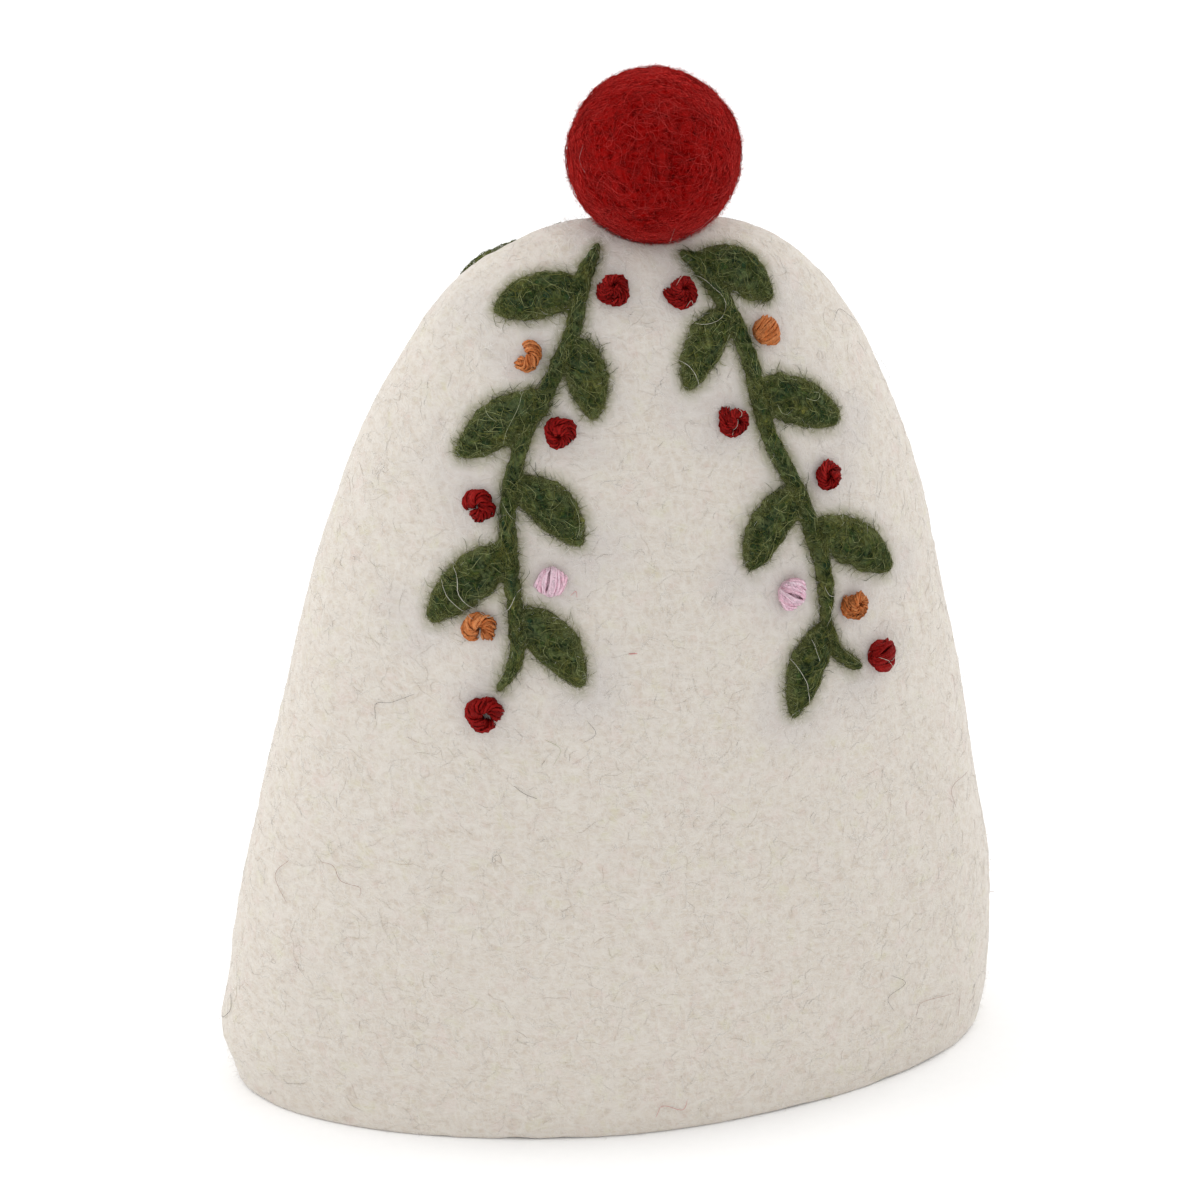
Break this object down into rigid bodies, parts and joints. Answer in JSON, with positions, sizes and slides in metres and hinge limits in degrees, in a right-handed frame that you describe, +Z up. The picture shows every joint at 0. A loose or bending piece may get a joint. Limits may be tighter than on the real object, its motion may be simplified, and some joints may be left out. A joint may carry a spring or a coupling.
{
  "type": "felt egg cosy",
  "caption": "Flattened hollow bell of thick wool felt, open at its hem, with a felt ball on its ridge and raised leafy sprigs with yarn berries on both faces.",
  "frame": {"origin": "on the surface that the hem stands on, below the middle of the cosy", "axes": "+Z up from the hem to the ball, +X along the cosy's width, -Y out of its front face"},
  "size_m": [0.0744, 0.0358, 0.1],
  "materials": {
    "cream_felt": "wet-felted cream wool, mottled, with loose fibres standing off the surface",
    "crimson_felt": "round crimson wool felt with lighter and darker fibres",
    "green_wool": "needle-felted green wool, dark with olive and yellow-green fibres",
    "red_yarn": "knotted crimson yarn",
    "orange_yarn": "knotted orange yarn, its plies showing",
    "pink_yarn": "knotted pale pink yarn"
  },
  "bodies": {
    "root": {"berry_back_left_1": "red_yarn", "berry_back_left_2": "orange_yarn", "berry_back_left_3": "red_yarn", "berry_back_left_4": "red_yarn", "berry_back_left_5": "pink_yarn", "berry_back_left_6": "orange_yarn", "berry_back_left_7": "red_yarn", "berry_back_right_1": "red_yarn", "berry_back_right_2": "orange_yarn", "berry_back_right_3": "red_yarn", "berry_back_right_4": "red_yarn", "berry_back_right_5": "pink_yarn", "berry_back_right_6": "orange_yarn", "berry_back_right_7": "red_yarn", "berry_front_left_1": "red_yarn", "berry_front_left_2": "orange_yarn", "berry_front_left_3": "red_yarn", "berry_front_left_4": "red_yarn", "berry_front_left_5": "pink_yarn", "berry_front_left_6": "orange_yarn", "berry_front_left_7": "red_yarn", "berry_front_right_1": "red_yarn", "berry_front_right_2": "orange_yarn", "berry_front_right_3": "red_yarn", "berry_front_right_4": "red_yarn", "berry_front_right_5": "pink_yarn", "berry_front_right_6": "orange_yarn", "berry_front_right_7": "red_yarn", "cosy_body": "cream_felt", "felt_ball": "crimson_felt", "sprig_back_left": "green_wool", "sprig_back_right": "green_wool", "sprig_front_left": "green_wool", "sprig_front_right": "green_wool"}
  },
  "joints": []
}
